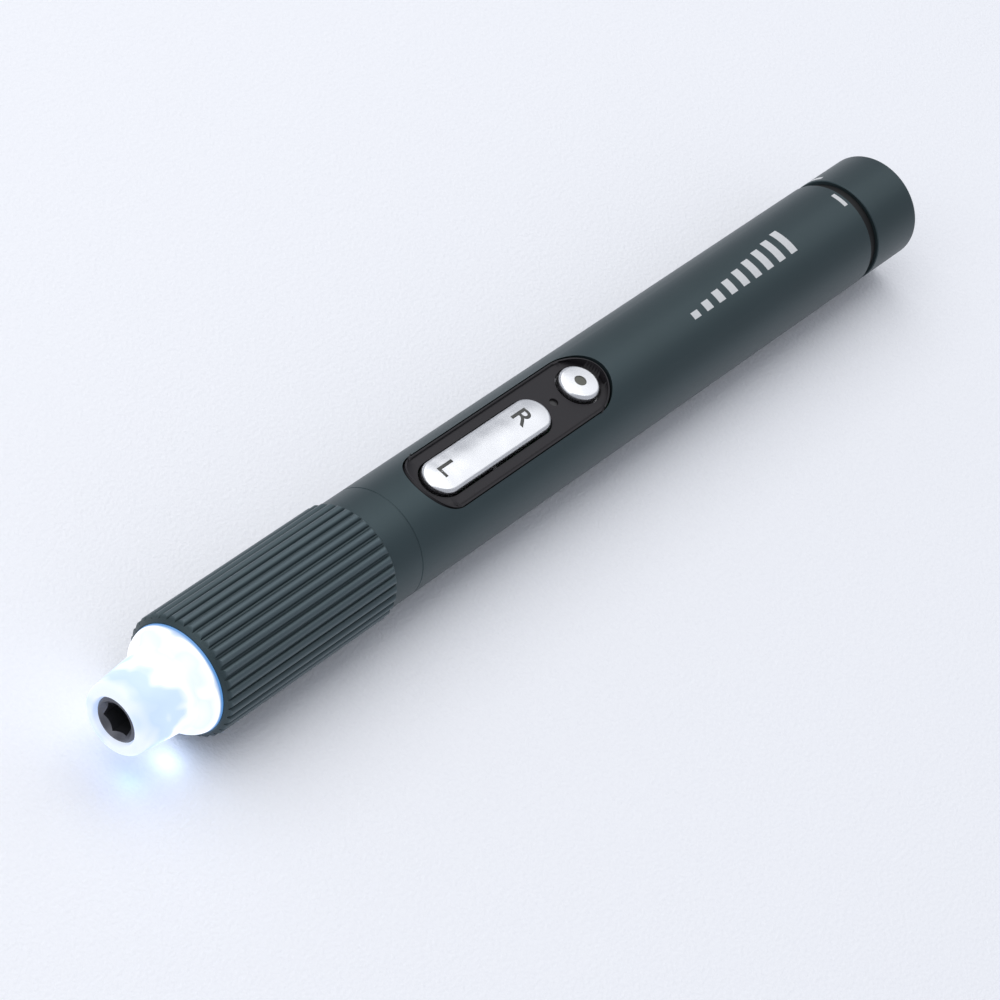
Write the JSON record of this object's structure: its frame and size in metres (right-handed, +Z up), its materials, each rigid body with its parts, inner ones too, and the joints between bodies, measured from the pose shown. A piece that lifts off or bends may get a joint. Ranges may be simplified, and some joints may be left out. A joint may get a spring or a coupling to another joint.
{
  "type": "electric torque screwdriver",
  "caption": "Pen-type electric torque screwdriver: ribbed grip, lit nose round a hex bit socket, rocker and round button, and a twist-off tail cap.",
  "frame": {"origin": "middle of the tool's length and width, on the surface that the tool lies on", "axes": "+X from the bit socket to the tail cap, +Z up through the buttons"},
  "size_m": [0.1634, 0.017, 0.0169],
  "materials": {
    "frosted_light_guide": "frosted, lit from behind",
    "lamp_chip": "gloss",
    "circuit_board": "solder mask",
    "anodised_grey": "matt anodised",
    "sintered_bronze": "sintered",
    "black_oxide_steel": "black oxide",
    "nickel_plate": "nickel plated",
    "spring_steel": "spring steel",
    "ground_steel": "broached",
    "bright_pin_steel": "ground",
    "gear_steel": "machined",
    "gear_brass": "machined",
    "screw_steel": "zinc plated",
    "black_nylon": "moulded",
    "dark_panel_plastic": "satin moulded",
    "satin_silver": "bead blasted, clear anodised",
    "smoked_lens": "smoked, polished",
    "clear_lens": "clear moulded",
    "chip_epoxy": "moulded epoxy",
    "battery_sleeve": "shrink sleeve",
    "seal_rubber": "moulded",
    "dark_ring_plastic": "moulded"
  },
  "bodies": {
    "housing": {"nose_light_guide": "frosted_light_guide", "nose_lamps": "lamp_chip", "lamp_board": "circuit_board", "grip_sleeve": "anodised_grey", "front_bush": "sintered_bronze", "gearbox_housing": "ground_steel", "motor_plate": "ground_steel", "motor_screws": "screw_steel", "motor_can": "nickel_plate", "motor_end_cap": "black_nylon", "motor_terminals": "gear_brass", "barrel": "anodised_grey", "button_panel": "dark_panel_plastic", "rocker_pin": "bright_pin_steel", "indicator_lens": "clear_lens", "status_lamp": "lamp_chip", "main_board": "circuit_board", "tact_switches": "black_nylon", "board_chips": "chip_epoxy", "board_screws": "screw_steel", "chassis": "black_nylon", "battery_cell": "battery_sleeve", "battery_tabs": "nickel_plate", "tail_spigot": "black_nylon", "charge_board": "circuit_board", "charge_socket": "nickel_plate", "socket_tongue": "black_nylon", "seal_ring": "seal_rubber"},
    "spindle": {"bit_spindle": "black_oxide_steel", "bit_magnet": "nickel_plate", "spindle_clip": "spring_steel", "output_carrier": "ground_steel", "output_pins": "bright_pin_steel"},
    "output_planet_1": {"output_planet_1": "gear_steel"},
    "output_planet_2": {"output_planet_2": "gear_steel"},
    "output_planet_3": {"output_planet_3": "gear_steel"},
    "input_carrier": {"input_carrier": "ground_steel", "input_sun": "gear_steel", "input_pins": "bright_pin_steel"},
    "input_planet_1": {"input_planet_1": "gear_steel"},
    "input_planet_2": {"input_planet_2": "gear_steel"},
    "input_planet_3": {"input_planet_3": "gear_steel"},
    "rotor": {"motor_shaft": "bright_pin_steel", "motor_pinion": "gear_brass"},
    "rocker": {"direction_rocker": "satin_silver"},
    "light_button": {"round_button": "satin_silver", "button_lens": "smoked_lens"},
    "lock_ring": {"lock_ring": "dark_ring_plastic"},
    "tail_cap": {"tail_cap": "anodised_grey"}
  },
  "joints": [
    {"name": "spindle_spin", "type": "hinge", "parent": "housing", "child": "spindle", "pos_m": [0, 0, 0.00846], "axis": [1, 0, 0], "continuous": true},
    {"name": "output_planet_1_spin", "type": "hinge", "parent": "spindle", "child": "output_planet_1", "pos_m": [0, 0, 0.00486], "axis": [1, 0, 0], "continuous": true},
    {"name": "output_planet_2_spin", "type": "hinge", "parent": "spindle", "child": "output_planet_2", "pos_m": [0, 0.00312, 0.01026], "axis": [1, 0, 0], "continuous": true},
    {"name": "output_planet_3_spin", "type": "hinge", "parent": "spindle", "child": "output_planet_3", "pos_m": [0, -0.00312, 0.01026], "axis": [1, 0, 0], "continuous": true},
    {"name": "input_carrier_spin", "type": "hinge", "parent": "housing", "child": "input_carrier", "pos_m": [0, 0, 0.00846], "axis": [1, 0, 0], "continuous": true},
    {"name": "input_planet_1_spin", "type": "hinge", "parent": "input_carrier", "child": "input_planet_1", "pos_m": [0, 0, 0.00486], "axis": [1, 0, 0], "continuous": true},
    {"name": "input_planet_2_spin", "type": "hinge", "parent": "input_carrier", "child": "input_planet_2", "pos_m": [0, 0.00312, 0.01026], "axis": [1, 0, 0], "continuous": true},
    {"name": "input_planet_3_spin", "type": "hinge", "parent": "input_carrier", "child": "input_planet_3", "pos_m": [0, -0.00312, 0.01026], "axis": [1, 0, 0], "continuous": true},
    {"name": "motor_spin", "type": "hinge", "parent": "housing", "child": "rotor", "pos_m": [0, 0, 0.00846], "axis": [1, 0, 0], "continuous": true},
    {"name": "rocker_tilt", "type": "hinge", "parent": "housing", "child": "rocker", "pos_m": [-0.01305, 0, 0.01268], "axis": [0, 1, 0], "range_deg": [-2.5, 2.5], "stiffness_Nm_per_rad": 0.02},
    {"name": "button_press", "type": "slide", "parent": "housing", "child": "light_button", "axis": [0, 0, -1], "range_m": [0, 0.00035], "stiffness_N_per_m": 400},
    {"name": "cap_twist", "type": "hinge", "parent": "housing", "child": "lock_ring", "pos_m": [0, 0, 0.00846], "axis": [1, 0, 0], "range_deg": [0, 56]},
    {"name": "cap_pull", "type": "slide", "parent": "lock_ring", "child": "tail_cap", "axis": [1, 0, 0], "range_m": [0, 0.02]}
  ],
  "couplings": [
    {"joint": "output_planet_1_spin", "follows": "spindle_spin", "ratio": -3},
    {"joint": "output_planet_2_spin", "follows": "spindle_spin", "ratio": -3},
    {"joint": "output_planet_3_spin", "follows": "spindle_spin", "ratio": -3},
    {"joint": "input_carrier_spin", "follows": "spindle_spin", "ratio": 4},
    {"joint": "input_planet_1_spin", "follows": "spindle_spin", "ratio": -12},
    {"joint": "input_planet_2_spin", "follows": "spindle_spin", "ratio": -12},
    {"joint": "input_planet_3_spin", "follows": "spindle_spin", "ratio": -12},
    {"joint": "motor_spin", "follows": "spindle_spin", "ratio": 16}
  ]
}
